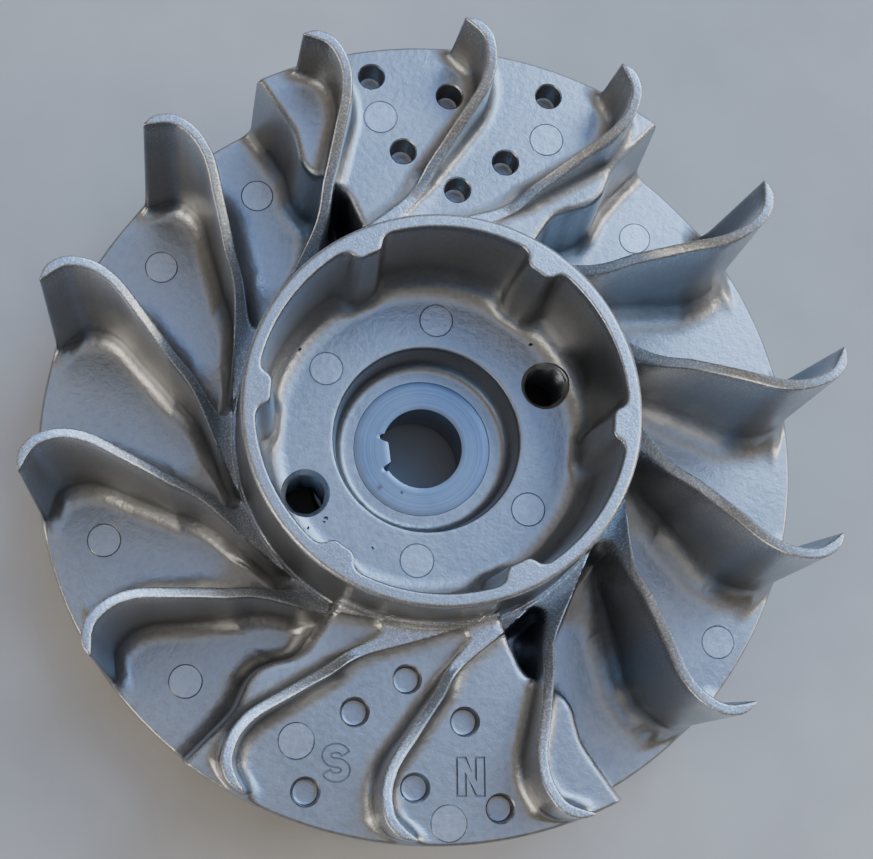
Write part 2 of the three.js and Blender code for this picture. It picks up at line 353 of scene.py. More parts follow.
def grid_bearings(radii):
    """Bearings of every column at every row. Columns run along the blades and crowd at every edge."""
    bearings = blade_bearings()
    warp_radius = np.maximum(radii, RIM_OUTER)
    lag = blade_lag(warp_radius)
    scale = np.radians(warp_radius * blade_cosine(warp_radius))
    even = smooth_step((RIM_OUTER - 0.1 - radii) / 1.8)
    outside = radii > BLADE_ROOT_RADIUS
    columns = []
    for k, start in enumerate(bearings):
        end = bearings[(k + 1) % len(bearings)] + (360 if k == len(bearings) - 1 else 0)
        width = (end - start) * scale
        found = wall_in_gap(radii[outside], start - lag[outside], end - lag[outside])
        middle, direction = found or (0, 0)
        wall = (middle + direction * smooth_curve(radii, BLOCK_SIDE) - start + lag) * scale
        offsets = [np.full_like(width, s) for s in BLADE_COLUMNS]
        offsets += list(middle_offsets(width, wall if found else None, direction))
        offsets += [width - s for s in BLADE_COLUMNS[:0:-1]]
        for i, offset in enumerate(offsets):
            uniform = start - 30 + (end - start) * i / len(offsets)
            columns.append((start - lag + offset / scale) * (1 - even) + uniform * even)
    return np.array(columns).T


def block_away(radius, bearing):
    """Distance outside the side wall of the nearer block, negative on the block."""
    turn = (bearing + 90) % 180 - 90
    side = smooth_curve(radius, BLOCK_SIDE)
    step = 0.1
    slope = (smooth_curve(radius + step, BLOCK_SIDE) - smooth_curve(radius - step, BLOCK_SIDE)) / (2 * step)
    cosine = 1 / np.sqrt(1 + (radius * np.radians(slope)) ** 2)
    return np.radians(np.abs(turn) - side) * radius * cosine


def cup_wall_away(radius, bearing):
    """Distance inside the cup's inner wall at the rim, which has a rounded lug at every lug place."""
    pitch = 360 / LUG_COUNT
    turn = (bearing - LUG_FIRST_BEARING + pitch / 2) % pitch - pitch / 2
    across = np.abs(np.radians(turn)) * radius - LUG_HALF
    lug = rounded_away(across, LUG_TIP_RADIUS - radius, LUG_CORNER)
    return -smooth_max(radius - RIM_INNER, -lug, LUG_BLEND)


def blades_on(ground, radius, bearing):
    """The ground with every blade standing on it, and how close each point is to a blade's top edge.
    Low on its leading side, next to the cup, a blade runs into a web that rounds the end of the trough."""
    lag = blade_lag(np.maximum(radius, RIM_OUTER))
    cosine = blade_cosine(np.maximum(radius, RIM_OUTER))
    on_block = smooth_step((ground - 30) / (BLOCK_TOP - 30))
    draft = BLADE_DRAFT + WEB_DRAFT * smooth_step((38 - radius) / 3)
    top = smooth_max(blade_top(radius), ground + RIDGE_RISE * on_block, RIDGE_BLEND)
    trailing, leading = (low + (high - low) * on_block for low, high in zip(FLOOR_FILLETS, BLOCK_FILLETS))
    toward_rim = 1 - 0.5 * smooth_step((radius - 65.5) / 4)
    surface = ground
    wear = np.zeros_like(ground)
    for start in blade_bearings():
        turn = (bearing + lag - start + 180) % 360 - 180
        across = np.abs(np.radians(turn) * radius) * cosine - BLADE_HALF_TOP
        away = rounded_away(across, radius - BLADE_TIP_RADIUS, BLADE_CORNER)
        reach = np.where(turn > 0, WEB_REACHES[1], WEB_REACHES[0])
        webbed = -smooth_max(-away, WEB_RADIUS - radius, reach)
        away = np.where(np.abs(turn) < WEB_SPAN, webbed, away)
        fillet = np.where(turn > 0, leading, trailing) * toward_rim
        blade = raised(ground, top, away, draft, fillet, BLADE_EDGE_ROUND)
        surface = merged(ground, surface, blade, BLADE_VALLEY)
        wear = np.maximum(wear, smooth_step((0.35 - away) / 0.5) * (blade > ground + 0.5))
    return surface, wear


def casting_top(radius, bearing):
    """Height of the cup side of the casting at each point, and how worn and bright it is there."""
    floor = np.full_like(radius, FLOOR_TOP)
    away = block_away(radius, bearing)
    ground = raised(floor, BLOCK_TOP, away, BLOCK_DRAFT, BLOCK_FOOT_FILLET, BLOCK_EDGE_ROUND)
    bladed, wear = blades_on(ground, radius, bearing)
    outside = raised(bladed, RIM_TOP, radius - RIM_OUTER, CUP_OUTER_DRAFT, CUP_FOOT_FILLET,
                     RIM_ROUND_OUTSIDE)
    well = np.full_like(radius, COLLAR_TOP)
    well = raised(well, CUP_FLOOR, COUNTERBORE_RADIUS - radius, COUNTERBORE_DRAFT, COUNTERBORE_FILLET,
                  COUNTERBORE_ROUND)
    bowl = np.clip((radius - RIM_INNER + CUP_FLOOR_INSET) / CUP_FLOOR_FILLET + 1, 0, 1)
    well = well + CUP_FLOOR_FILLET * (1 - np.sqrt(1 - bowl**2))
    away_from_wall = cup_wall_away(radius, bearing)
    inside = raised(well, RIM_TOP, away_from_wall, CUP_INNER_DRAFT, CUP_WALL_FILLET, RIM_ROUND_INSIDE)
    height = np.where(radius < (RIM_INNER + RIM_OUTER) / 2, inside, outside)
    on_rim = smooth_step((0.3 - away_from_wall) / 0.4) * smooth_step((RIM_OUTER + 0.4 - radius) / 0.6)
    bare = (radius > RIM_OUTER + 4) * (height < BLOCK_TOP + 0.5)
    block_edge = 0.5 * np.exp(-((away + 0.5) / 0.8) ** 2) * bare
    wear = np.maximum(np.maximum(wear * (radius > RIM_OUTER + 1), RIM_WEAR * on_rim), block_edge)
    past = np.clip(radius - (EDGE_RADIUS - EDGE_ROUND), 0, EDGE_ROUND)
    return height - (EDGE_ROUND - np.sqrt(EDGE_ROUND**2 - past**2)), wear


def arc_rows(start, end, centre, steps=5):
    """Rows along a quarter circle between two (radius, height) points."""
    across = start[0] + end[0] - 2 * centre[0]
    upward = start[1] + end[1] - 2 * centre[1]
    rows = []
    for i in range(1, steps):
        angle = math.pi / 2 * i / steps
        along = (math.cos(angle), math.sin(angle))
        if start[1] != centre[1]:
            along = along[::-1]
        rows.append((centre[0] + across * along[0], centre[1] + upward * along[1]))
    return [start] + rows + [end]


def back_rows():
    """Radius and height of the rows from the rim's outer edge round the back to the hub."""
    inner = SKIRT_INNER - 0.3
    rows = [(EDGE_RADIUS, 9), (EDGE_RADIUS, 4), (EDGE_RADIUS, 0.6)]
    rows += [(EDGE_RADIUS - 0.2, 0.15), (EDGE_RADIUS - 0.6, 0)]
    rows += [(SKIRT_INNER + 0.5, 0), (SKIRT_INNER + 0.12, 0.15), (SKIRT_INNER, 0.6)]
    rows += [(SKIRT_INNER - 0.15, 4)]
    rows += arc_rows((inner, PLATE_BOTTOM - 3), (inner - 3, PLATE_BOTTOM), (inner - 3, PLATE_BOTTOM - 3))
    rows += [(r, PLATE_BOTTOM) for r in steps_between(60, RECESS_RADIUS + 1, 2)]
    rows += arc_rows((RECESS_RADIUS + 0.8, PLATE_BOTTOM), (RECESS_RADIUS, PLATE_BOTTOM + 0.8),
                     (RECESS_RADIUS + 0.8, PLATE_BOTTOM + 0.8), 3)
    rows += [(RECESS_RADIUS - 0.2, 16), (RECESS_RADIUS - 0.4, 19)]
    rows += arc_rows((RECESS_RADIUS - 0.5, RECESS_TOP - 2), (RECESS_RADIUS - 2.5, RECESS_TOP),
                     (RECESS_RADIUS - 2.5, RECESS_TOP - 2))
    rows += [(r, RECESS_TOP) for r in steps_between(RECESS_RADIUS - 2.7, BOSS_RADIUS + 2.7, 0.2)]
    rows += arc_rows((BOSS_RADIUS + 2.5, RECESS_TOP), (BOSS_RADIUS + 0.5, RECESS_TOP - 2),
                     (BOSS_RADIUS + 2.5, RECESS_TOP - 2))
    rows += [(BOSS_RADIUS + 0.4, 19), (BOSS_RADIUS + 0.3, 15), (BOSS_RADIUS + 0.2, 11), (BOSS_RADIUS, 2)]
    rows += arc_rows((BOSS_RADIUS, BOSS_BOTTOM + 1.2), (BOSS_RADIUS - 1.2, BOSS_BOTTOM),
                     (BOSS_RADIUS - 1.2, BOSS_BOTTOM + 1.2), 4)
    rows += [(HUB_RADIUS + 0.6, BOSS_BOTTOM), (HUB_RADIUS + 0.2, BOSS_BOTTOM + 0.3), (COLLAR_INNER, 2)]
    return rows + [(COLLAR_INNER, 10)]


def back_height(row_radius, row_height, bearing):
    """Height of the back at one row, with the ribs and puller bosses that hang in the recess."""
    x, y = on_circle(row_radius, bearing)
    depth = np.full_like(bearing, -float(row_height))
    if not BOSS_RADIUS < row_radius < RECESS_RADIUS or row_height < BACK_FEATURE_BOTTOM:
        return -depth
    surface = depth
    for rib in RIB_BEARINGS:
        turn = (bearing - rib + 180) % 360 - 180
        away = np.abs(np.radians(turn)) * row_radius - RIB_HALF
        surface = np.maximum(surface, raised(depth, -BACK_FEATURE_BOTTOM, away, BACK_DRAFT, 1.5, 0.3))
    for puller in PULLER_BEARINGS:
        centre = on_circle(PULLER_RADIUS, puller)
        away = np.hypot(x - centre[0], y - centre[1]) - PULLER_BOSS_RADIUS
        surface = np.maximum(surface, raised(depth, -BACK_FEATURE_BOTTOM, away, BACK_DRAFT, 1.5, 0.5))
    return -surface


def mesh_object(name, vertices, faces, smooth_angle=30):
    """An object in the scene with a mesh made from lengths in millimetres."""
    mesh = bpy.data.meshes.new(name)
    mesh.from_pydata((np.asarray(vertices) * MM).tolist(), [], faces)
    mesh.update()
    obj = bpy.data.objects.new(name, mesh)
    bpy.context.scene.collection.objects.link(obj)
    finish_shading(mesh, smooth_angle)
    return obj


def finish_shading(mesh, smooth_angle):
    """Smooth shading, with sharp edges where faces meet at more than an angle."""
    mesh.shade_smooth()
    mesh.set_sharp_from_angle(angle=math.radians(smooth_angle))


def ring_faces(rows, columns):
    """Quads of a grid that goes all the way round along its rows and along its columns."""
    i, j = np.meshgrid(np.arange(rows), np.arange(columns), indexing="ij")
    a = i * columns + j
    b = i * columns + (j + 1) % columns
    c = ((i + 1) % rows) * columns + (j + 1) % columns
    d = ((i + 1) % rows) * columns + j
    return np.stack([a, d, c, b], -1).reshape(-1, 4).tolist()


def casting_surface():
    """The casting as one closed grid: the cup side from the hub out to the rim, then the back."""
    radii = grid_radii()
    bearing = grid_bearings(radii)
    radius = np.broadcast_to(radii[:, None], bearing.shape)
    height, wear = casting_top(radius, bearing)
    layers = [np.stack([*on_circle(radius, bearing), height], -1)]
    back = back_rows()
    for k, (row_radius, row_height) in enumerate(back):
        share = smooth_step(np.array(k / len(back)))
        whole_turns = np.round((bearing[-1] - bearing[0]) / 360) * 360
        row_bearing = bearing[-1] * (1 - share) + (bearing[0] + whole_turns) * share
        low = back_height(row_radius, row_height, row_bearing)
        layers.append(np.stack([*on_circle(row_radius, row_bearing), low], -1)[None])
    grid = np.concatenate(layers)
    rows, columns = grid.shape[:2]
    casting = mesh_object("casting", grid.reshape(-1, 3), ring_faces(rows, columns), 40)
    values = np.zeros(rows * columns, np.float32)
    values[:wear.size] = wear.ravel()
    attribute = casting.data.attributes.new("wear", "FLOAT", "POINT")
    attribute.data.foreach_set("value", values)
    return casting


# ---------------------------------------------------------------- cutters and inserts
def turned_solid(name, rows, sides, at, shape=None):
    """A closed solid of rings given as (radius, height), capped at both ends."""
    vertices = []
    for radius, height in rows:
        for i in range(sides):
            angle = 2 * math.pi * i / sides
            r = radius if shape is None else shape(radius, height, angle)
            vertices.append((at[0] + r * math.cos(angle), at[1] + r * math.sin(angle), height))
    faces = []
    for k in range(len(rows) - 1):
        for i in range(sides):
            j = (i + 1) % sides
            faces.append((k * sides + i, k * sides + j, (k + 1) * sides + j, (k + 1) * sides + i))
    faces.append(tuple(range(sides - 1, -1, -1)))
    faces.append(tuple(range((len(rows) - 1) * sides, len(rows) * sides)))
    return mesh_object(name, vertices, faces)


def thread_shape(radius, height, angle):
    """Wall of an M8 hole: the thread's ridges, opened by the chamfer at the cup floor."""
    turn = (height / THREAD_PITCH - angle / (2 * math.pi)) % 1
    wall = THREAD_MINOR + THREAD_DEPTH * (1 - abs(2 * turn - 1))
    return max(wall, PULLER_CHAMFER - max(0, CUP_FLOOR - height)) if height > CUP_FLOOR - 1.5 else wall


def hole_cutters():
    """Cutters for the threaded puller holes and for the shallow holes in both blocks."""
    cutters = []
    for index, bearing in enumerate(PULLER_BEARINGS):
        levels = np.arange(RECESS_TOP - 12, CUP_FLOOR, THREAD_PITCH / 8)
        rows = [(THREAD_MINOR, level) for level in (*levels, CUP_FLOOR, CUP_FLOOR + 2)]
        at = on_circle(PULLER_RADIUS, bearing)
        cutters.append(turned_solid(f"cut_puller_{index}", rows, 48, at, thread_shape))
    for side, depth in ((0, COUNTERWEIGHT_HOLE), (180, MAGNET_BLOCK_HOLE)):
        for index, (radius, bearing) in enumerate(BLOCK_HOLES):
            r = BLOCK_HOLE_RADIUS
            floor = BLOCK_TOP - depth
            rows = [(r - 0.9, floor), (r - 0.6, floor), (r - 0.25, floor + 0.1), (r - 0.1, floor + 0.4),
                    (r, BLOCK_TOP - 0.25), (r + 0.3, BLOCK_TOP + 0.05), (r + 0.3, BLOCK_TOP + 3)]
            cutters.append(turned_solid(f"cut_{side}_{index}", rows, 40, on_circle(radius, bearing + side)))
    return cutters


def pore_cutters():
    """Small uneven pits where gas came out of the metal."""
    cutters = []
    for index, (radius, bearing, half) in enumerate(PORES):
        level = casting_top(np.array([float(radius)]), np.array([float(bearing)]))[0][0]
        rows = [(0.5 * half, level - 3 * half), (0.9 * half, level - 1.5 * half), (half, level),
                (1.1 * half, level + half)]

        def uneven(r, height, angle):
            return r * (1 + 0.2 * math.sin(2 * angle + index) + 0.1 * math.sin(3 * angle + 2 * index))

        cutters.append(turned_solid("cut_pore", rows, 14, on_circle(radius, bearing), uneven))
    return cutters


def ring_groove(name, radius, at, level):
    """A closed ring whose lower edge cuts the thin outline of an ejector pin."""
    sides = 64
    profile = [(radius - 0.2, level + 0.4), (radius - 0.11, level - 0.04), (radius, level - 0.12),
               (radius + 0.11, level - 0.04), (radius + 0.2, level + 0.4)]
    angle = np.linspace(0, 2 * math.pi, sides, endpoint=False)
    vertices = np.concatenate([np.stack([at[0] + r * np.cos(angle), at[1] + r * np.sin(angle),
                                         np.full(sides, z)], -1) for r, z in profile])
    ring = mesh_object(name, vertices, ring_faces(len(profile), sides))
    recalculate(ring)
    return ring


def pin_marks():
    """Grooves round the ejector pins, and the discs that the pins left slightly proud inside them."""
    levels = [(FLOOR_TOP, FLOOR_PIN_MARKS), (BLOCK_TOP, BLOCK_PIN_MARKS), (CUP_FLOOR, CUP_PIN_MARKS)]
    grooves = []
    discs = []
    for level, places in levels:
        for radius, bearing in places:
            at = on_circle(radius, bearing)
            grooves.append(ring_groove("groove", PIN_MARK_RADIUS, at, level))
            r = PIN_MARK_RADIUS - 0.13
            rows = [(r, level - 0.4), (r, level + PIN_MARK_RISE)]
            discs.append(turned_solid("pin_disc", rows, 64, at))
    return grooves, discs


def on_letter(points, place):
    """Points given in a letter's own x and y, as places on the block."""
    points = np.array(points, float)
    up = np.array(on_circle(1, LETTER_UP))
    right = np.array([up[1], -up[0]])
    return np.array(on_circle(*place)) + points[:, :1] * right + points[:, 1:] * up


def stroke_outline(path, half):
    """Outline of a bar that follows a path."""
    path = np.array(path, float)
    along = np.gradient(path, axis=0)
    along /= np.linalg.norm(along, axis=1)[:, None]
    path[0] -= along[0] * (half - LETTER_STROKE / 2)
    path[-1] += along[-1] * (half - LETTER_STROKE / 2)
    side = half * np.stack([-along[:, 1], along[:, 0]], -1)
    return np.concatenate([path + side, (path - side)[::-1]])


def outline_n(grow):
    """Outline of the letter N, made larger all round by grow."""
    x = LETTER_WIDTH / 2
    y = LETTER_HEIGHT / 2 + grow
    edge = x + grow
    inner = x - LETTER_STROKE - grow
    slope = 1.9 * LETTER_STROKE + 2 * grow
    return [(-edge, -y), (-edge, y), (-inner, y), (inner, slope - y), (inner, y), (edge, y), (edge, -y),
            (inner, -y), (-inner, y - slope), (-inner, -y)]


def outline_s(grow):
    """Outline of the letter S, made larger all round by grow."""
    bar = LETTER_STROKE
    bend = (LETTER_HEIGHT - bar) / 4
    curve = []
    for degrees in range(20, 271, 10):
        angle = math.radians(degrees)
        curve.append(((LETTER_WIDTH - bar) / 2 * math.cos(angle), bend + bend * math.sin(angle)))
    path = curve + [(-px, -py) for px, py in curve[:-1]][::-1]
    return stroke_outline(path, bar / 2 + grow)


def letter_solid(name, outline, place, low, high):
    """A flat prism in the shape of a letter, from one level to another over the block."""
    outline = on_letter(outline, place)
    count = len(outline)
    vertices = []
    for level in (low, high):
        vertices += [(x, y, BLOCK_TOP + level) for x, y in outline]
    faces = [(i, (i + 1) % count, count + (i + 1) % count, count + i) for i in range(count)]
    faces += [tuple(range(count - 1, -1, -1)), tuple(range(count, 2 * count))]
    letter = mesh_object(name, vertices, faces)
    recalculate(letter)
    return letter


def pole_letters():
    """The raised letters, and the cutters for the narrow trench round each."""
    letters = []
    trenches = []
    for outline, place in ((outline_n, LETTER_N_PLACE), (outline_s, LETTER_S_PLACE)):
        letters.append(letter_solid("letter", outline(0), place, -LETTER_TRENCH_DEPTH - 0.5, LETTER_RISE))
        trenches.append(letter_solid("trench", outline(LETTER_TRENCH), place, -LETTER_TRENCH_DEPTH, 1))
    return letters, trenches


def shoe_outline(side, grow=0.0):
    """Corners of one pole shoe in the magnet block, seen from above, or of the slightly larger hollow
    that it sits in, which runs out through the rim."""
    points = [(x + (grow if i else -grow), y - grow) for i, (x, y) in enumerate(SHOE_OUTLINE)]
    face = [on_circle(EDGE_RADIUS, bearing) for bearing in np.linspace(*SHOE_FACE, 7)]
    if grow:
        (outer_x, outer_y), (inner_x, inner_y) = face[0], face[-1]
        outer_x += grow
        inner_x -= grow
        face = [(outer_x, outer_y), (outer_x, outer_y + 3), (inner_x, inner_y + 3), (inner_x, inner_y)]
    points += face
    points += [(x - grow, y + grow) for x, y in SHOE_INNER]
    return [(-side * x, -y) for x, y in points]


def stacked_prism(name, outline, levels):
    """A prism whose outline is drawn in by a given amount at each level."""
    outline = np.array(outline)
    if np.cross(outline[1] - outline[0], outline[2] - outline[1]) < 0:
        outline = outline[::-1]
    along = np.roll(outline, -1, 0) - np.roll(outline, 1, 0)
    outward = np.stack([along[:, 1], -along[:, 0]], -1) / np.linalg.norm(along, axis=1)[:, None]
    vertices = []
    for level, inset in levels:
        vertices += [(x, y, level) for x, y in outline - outward * inset]
    count = len(outline)
    faces = []
    for low in range(0, (len(levels) - 1) * count, count):
        for i in range(count):
            j = (i + 1) % count
            faces.append((low + i, low + j, low + count + j, low + count + i))
    faces += [tuple(range(count - 1, -1, -1)), tuple(range((len(levels) - 1) * count, len(levels) * count))]
    solid = mesh_object(name, vertices, faces)
    recalculate(solid)
    return solid


def pole_shoe(name, side):
    """A pole shoe stacked from thin steel sheets with slightly rounded edges."""
    levels = []
    count = round((SHOE_TOP - SHOE_BOTTOM) / SHEET_THICKNESS)
    for i in range(count):
        low = SHOE_BOTTOM + i * SHEET_THICKNESS
        levels += [(low + SHEET_GAP, SHEET_EDGE), (low + SHEET_EDGE, 0),
                   (low + SHEET_THICKNESS - SHEET_EDGE, 0), (low + SHEET_THICKNESS - SHEET_GAP, SHEET_EDGE)]
    return stacked_prism(name, shoe_outline(side), levels)


def cavity_cutters():
    """Cutters for the hollows that the magnet and the pole shoes sit in."""
    half, inner, outer = MAGNET_BOX
    box = [(-half, -inner), (-half, -outer), (half, -outer), (half, -inner)]
    cutters = [stacked_prism("cut_magnet", box, [(SHOE_BOTTOM, 0), (SHOE_TOP, 0)])]
    for side in (-1, 1):
        levels = [(SHOE_BOTTOM - 0.03, 0), (SHOE_TOP + 0.03, 0)]
        cutters.append(stacked_prism("cut_shoe", shoe_outline(side, 0.04), levels))
    return cutters


def joined(objects, name):
    """One object made of several, which are removed."""
    work = bmesh.new()
    for obj in objects:
        work.from_mesh(obj.data)
        bpy.data.objects.remove(obj)
    mesh = bpy.data.meshes.new(name)
    work.to_mesh(mesh)
    work.free()
    obj = bpy.data.objects.new(name, mesh)
    bpy.context.scene.collection.objects.link(obj)
    return obj


def carve(target, cutter):
    """Takes a cutter away from the target and removes it."""
    modifier = target.modifiers.new("carve", "BOOLEAN")
    modifier.operation = "DIFFERENCE"
    modifier.solver = "EXACT"
    modifier.object = cutter
    graph = bpy.context.evaluated_depsgraph_get()
    carved = bpy.data.meshes.new_from_object(target.evaluated_get(graph))
    target.modifiers.clear()
    target.data = carved
    bpy.data.objects.remove(cutter)
    finish_shading(carved, 40)


def add_islands(target, islands):
    """Joins small closed solids to a larger object, as part of the same piece."""
    work = bmesh.new()
    work.from_mesh(target.data)
    for island in islands:
        work.from_mesh(island.data)
        bpy.data.objects.remove(island)
    work.to_mesh(target.data)
    work.free()
    finish_shading(target.data, 40)


def hub_bore():
    """Bearings round the hub, in radians from the key, and the bore's radius at each of them as a function
    of how much wider it is than at the front. The key has a relief notch at each side."""
    half_key = math.asin(KEY_WIDTH / 2 / BORE_RADIUS)
    notch_width = 2 * KEY_NOTCH / BORE_RADIUS
    bearings = set(np.linspace(-math.pi, math.pi, 180, endpoint=False).round(4))
    for side in (-1, 1):
        bearings.update((side * half_key + side * notch_width * t) for t in np.linspace(-0.25, 1.1, 14))
    bearings = np.array(sorted(bearings))
    tip = KEY_TIP_RADIUS / np.cos(bearings)
    into = np.clip((np.abs(bearings) - half_key) / notch_width, 0, 1)
    notch = KEY_NOTCH * np.sqrt(np.clip(1 - (2 * into - 1) ** 2, 0, None)) * (into > 0)
    on_key = smooth_step((half_key - np.abs(bearings)) / 0.05 + 0.5)

    def bore(extra):
        return (BORE_RADIUS + extra + notch) * (1 - on_key) + tip * on_key

    return bearings, bore


def steel_hub():
    """The steel hub: a turned ring with a tapered bore and a key."""
    bearings, bore = hub_bore()
    length = HUB_FACE - BOSS_BOTTOM
    outer = np.full_like(bearings, COLLAR_INNER - 0.02)
    rows = [(outer - 0.4, BOSS_BOTTOM), (outer, BOSS_BOTTOM + 0.4), (outer, HUB_FACE - 0.12),
            (outer - 0.04, HUB_FACE - 0.03), (outer - 0.14, HUB_FACE)]
    rows += [(outer * (1 - t) + (bore(0) + 0.3) * t, HUB_FACE) for t in (0.3, 0.6, 0.85)]
    rows += [(bore(0) + 0.14, HUB_FACE), (bore(0) + 0.04, HUB_FACE - 0.04), (bore(0), HUB_FACE - 0.14)]
    rows += [(bore(length * BORE_TAPER * t), HUB_FACE - length * t) for t in (0.25, 0.5, 0.75, 0.98)]
    rows += [(bore(length * BORE_TAPER) + 0.3, BOSS_BOTTOM)]
    angle = bearings + math.radians(KEY_BEARING)
    vertices = np.concatenate([np.stack([r * np.sin(angle), r * np.cos(angle), np.full_like(r, z)], -1)
                               for r, z in rows])
    hub = mesh_object("steel_hub_turned", vertices, ring_faces(len(rows), len(bearings)), 35)
    recalculate(hub)
    return hub


def recalculate(obj):
    """Turns every face of a closed mesh outward."""
    work = bmesh.new()
    work.from_mesh(obj.data)
    bmesh.ops.recalc_face_normals(work, faces=work.faces)
    work.to_mesh(obj.data)
    work.free()


# ---------------------------------------------------------------- materials
class Nodes:
    """Short calls for building a material's node tree."""

    def __init__(self, name):
        self.material = bpy.data.materials.new(name)
        self.material.use_nodes = True
        self.tree = self.material.node_tree
        self.shader = self.tree.nodes["Principled BSDF"]

    def node(self, kind, **settings):
        made = self.tree.nodes.new(kind)
        for key, value in settings.items():
            setattr(made, key, value)
        return made

    def link(self, source, target):
        self.tree.links.new(source, target)

    def noise(self, scale, detail=3.0, roughness=0.5, distortion=0.0):
        coordinates = self.node("ShaderNodeTexCoord")
        made = self.node("ShaderNodeTexNoise")
        made.inputs["Scale"].default_value = scale
        made.inputs["Detail"].default_value = detail
        made.inputs["Roughness"].default_value = roughness
        made.inputs["Distortion"].default_value = distortion
        self.link(coordinates.outputs["Object"], made.inputs["Vector"])
        return made.outputs["Fac"]

    def ramp(self, value, stops):
        made = self.node("ShaderNodeValToRGB")
        elements = made.color_ramp.elements
        for index, (position, colour) in enumerate(stops):
            element = elements[index] if index < 2 else elements.new(position)
            element.position = position
            element.color = (*colour, 1) if isinstance(colour, tuple) else (colour, colour, colour, 1)
        self.link(value, made.inputs["Fac"])
        return made.outputs["Color"]

    def math(self, operation, a, b=0.0):
        made = self.node("ShaderNodeMath", operation=operation)
        for socket, value in zip(made.inputs, (a, b)):
            if isinstance(value, (int, float)):
                socket.default_value = value
            else:
                self.link(value, socket)
        return made.outputs[0]

    def mix(self, factor, a, b, blend="MIX"):
        made = self.node("ShaderNodeMix", data_type="RGBA", blend_type=blend)
        for name, kind, value in (("Factor", "VALUE", factor), ("A", "RGBA", a), ("B", "RGBA", b)):
            socket = [s for s in made.inputs if s.name == name and s.type == kind][0]
            if isinstance(value, (int, float)):
                socket.default_value = value
            elif isinstance(value, tuple):
                socket.default_value = (*value, 1)
            else:
                self.link(value, socket)
        return [s for s in made.outputs if s.type == "RGBA"][0]

    def bump(self, height, distance, strength=1.0, normal=None):
        made = self.node("ShaderNodeBump")
        made.inputs["Strength"].default_value = strength
        made.inputs["Distance"].default_value = distance
        self.link(height, made.inputs["Height"])
        if normal is not None:
            self.link(normal, made.inputs["Normal"])
        return made.outputs["Normal"]


def cast_material(name, lightness):
    """As-cast aluminium: cloudy and slightly granular, with painted shade that darkens the steep walls, and
    bright and sparkling where it is worn."""
    n = Nodes(name)
    wear = n.node("ShaderNodeAttribute", attribute_name="wear").outputs["Fac"]
    cloud = n.noise(60, 4, 0.6)
    skin = n.noise(900, 3, 0.6)
    grain = n.noise(3000, 2, 0.5)
    stain = n.noise(22, 3, 0.5, 0.6)
    dark, light = (tuple(lightness * c for c in colour) for colour in CAST_COLOURS)
    smooth = n.ramp(cloud, [(0.3, dark), (0.7, light)])
    warm = n.mix(n.ramp(stain, [(0.5, 0.0), (0.75, 0.35)]), smooth, (0.50, 0.47, 0.43))
    sparkle = n.ramp(grain, [(0.42, (0.52, 0.53, 0.54)), (0.6, (0.72, 0.73, 0.74)),
                             (0.68, (0.96, 0.96, 0.96))])
    skin_and_wall_shade = n.mix(1.0, warm, n.ramp(skin, [(0.3, 0.86), (0.6, 1.0)]), "MULTIPLY")
    facing = n.node("ShaderNodeSeparateXYZ")
    n.link(n.node("ShaderNodeNewGeometry").outputs["Normal"], facing.inputs[0])
    level = n.math("ABSOLUTE", facing.outputs["Z"])
    # Painted shade: steep walls get a darker colour by how they face, standing in for the shade they catch
    skin_and_wall_shade = n.mix(1.0, skin_and_wall_shade, n.ramp(level, [(0.1, STEEP_WALL_PAINTED_SHADE), (0.9, 1.0)]), "MULTIPLY")
    n.link(n.mix(wear, skin_and_wall_shade, sparkle), n.shader.inputs["Base Color"])
    n.shader.inputs["Metallic"].default_value = 1.0
    even = n.math("ADD", n.math("MULTIPLY", cloud, 0.6), n.math("MULTIPLY", skin, 0.4))
    n.link(n.ramp(even, [(0.3, 0.31), (0.7, 0.43)]), n.shader.inputs["Roughness"])
    coarse = n.bump(skin, 0.0001, 0.75)
    fine = n.bump(grain, 0.00005, 0.5, coarse)
    n.link(n.math("ADD", n.math("MULTIPLY", wear, 0.7), 0.25), fine.node.inputs["Strength"])
    n.link(fine, n.shader.inputs["Normal"])
    return n.material


def steel_material():
    """Turned steel with fine rings, a spot of rust and a dark spot."""
    n = Nodes("hub_steel_fine")
    place = n.node("ShaderNodeTexCoord").outputs["Object"]
    flat = n.node("ShaderNodeVectorMath", operation="MULTIPLY")
    flat.inputs[1].default_value = (1, 1, 0)
    n.link(place, flat.inputs[0])
    radius = n.node("ShaderNodeVectorMath", operation="LENGTH")
    n.link(flat.outputs[0], radius.inputs[0])
    rings = n.node("ShaderNodeTexNoise", noise_dimensions="1D")
    rings.inputs["Scale"].default_value = 2600
    rings.inputs["Detail"].default_value = 3
    n.link(radius.outputs["Value"], rings.inputs["W"])
    cloud = n.noise(120, 3)
    colour = n.ramp(cloud, list(zip((0.3, 0.7), HUB_COLOURS)))
    colour = n.mix(1.0, colour, n.ramp(rings.outputs["Fac"], [(0.35, 0.84), (0.6, 1.0)]), "MULTIPLY")
    for spot, size, tint in HUB_SPOTS:
        distance = n.node("ShaderNodeVectorMath", operation="DISTANCE")
        n.link(place, distance.inputs[0])
        distance.inputs[1].default_value = (*(c * MM for c in on_circle(*spot)), HUB_FACE * MM)
        ragged = n.math("ADD", distance.outputs["Value"], n.math("MULTIPLY", n.noise(1500, 2), size * MM))
        shade = n.ramp(n.math("DIVIDE", ragged, 2 * size * MM), [(0.35, 0.85), (0.8, 0.0)])
        colour = n.mix(shade, colour, tint)
    n.link(colour, n.shader.inputs["Base Color"])
    n.shader.inputs["Metallic"].default_value = 1.0
    n.link(n.ramp(cloud, [(0.3, 0.28), (0.7, 0.38)]), n.shader.inputs["Roughness"])
    n.link(n.bump(rings.outputs["Fac"], 0.00002, 0.5), n.shader.inputs["Normal"])
    return n.material


